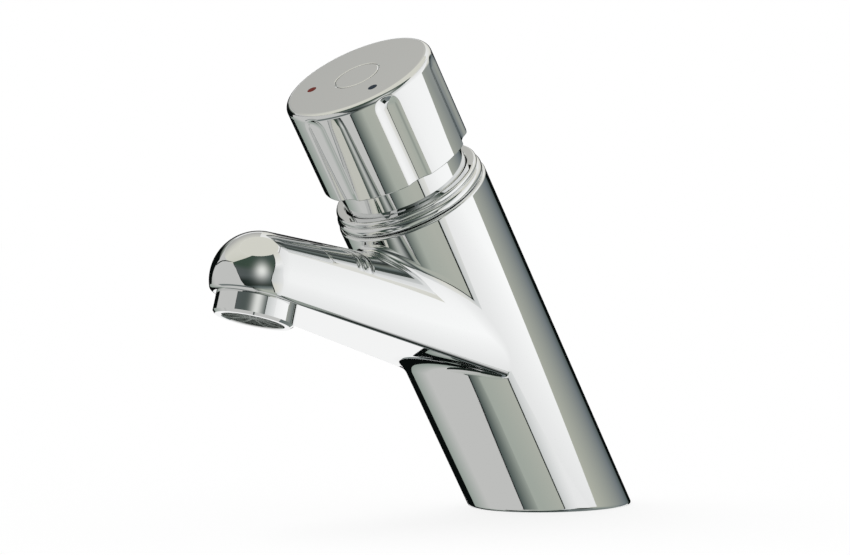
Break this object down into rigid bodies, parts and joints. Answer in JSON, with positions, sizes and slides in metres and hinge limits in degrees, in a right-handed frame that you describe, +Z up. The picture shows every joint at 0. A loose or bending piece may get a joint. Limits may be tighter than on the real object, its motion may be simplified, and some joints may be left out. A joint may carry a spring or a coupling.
{
  "type": "push timed basin mixer tap",
  "caption": "Leaning round chrome basin tap with a rising flat-bottomed spout, and a fluted knob that is pressed for a timed flow and turned to set the temperature.",
  "frame": {"origin": "where the body's leaning axis meets the flat base, on the basin top", "axes": "+Z up, the spout points to -Y, X across, with the hot side at -X; the body's axis leans 33 degrees from +Z towards -Y"},
  "size_m": [0.048, 0.1699, 0.1462],
  "materials": {
    "chrome": "polished chromium plate on brass",
    "brass": "turned",
    "stainless": "drawn and turned",
    "rubber": "moulded nitrile",
    "ceramic": "lapped alumina",
    "grey_plastic": "moulded acetal",
    "red_plastic": "moulded",
    "blue_plastic": "moulded"
  },
  "bodies": {
    "tap_body": {"body": "chrome", "base_seal": "rubber", "inlet_strainers": "grey_plastic", "port_seals": "rubber", "fixed_disc": "ceramic", "cartridge_housing": "grey_plastic", "housing_seals": "rubber", "guide_sleeve": "chrome", "slip_ring": "grey_plastic", "collar": "chrome", "aerator_housing": "chrome", "aerator_insert": "grey_plastic", "aerator_screen": "stainless", "aerator_gasket": "rubber"},
    "selector": {"moving_disc": "ceramic", "valve_cage": "brass", "timing_cylinder": "brass", "gland_seal": "rubber", "drive_cap": "brass", "stop_pin": "stainless", "return_spring": "stainless"},
    "push_knob": {"knob": "chrome", "knob_badge": "chrome", "hot_dot": "red_plastic", "cold_dot": "blue_plastic", "knob_screw": "stainless", "stem": "brass", "valve_head": "brass", "valve_washer": "rubber", "piston": "brass", "piston_seal": "rubber", "timing_jet": "stainless"}
  },
  "joints": [
    {"name": "temperature_turn", "type": "hinge", "parent": "tap_body", "child": "selector", "pos_m": [0, 0, 0], "axis": [0, -0.5446, 0.8387], "range_deg": [-60, 60]},
    {"name": "push", "type": "slide", "parent": "selector", "child": "push_knob", "axis": [0, 0.5446, -0.8387], "range_m": [0, 0.0065], "stiffness_N_per_m": 1500, "springref_m": -0.008, "deforming": ["return_spring"]}
  ]
}
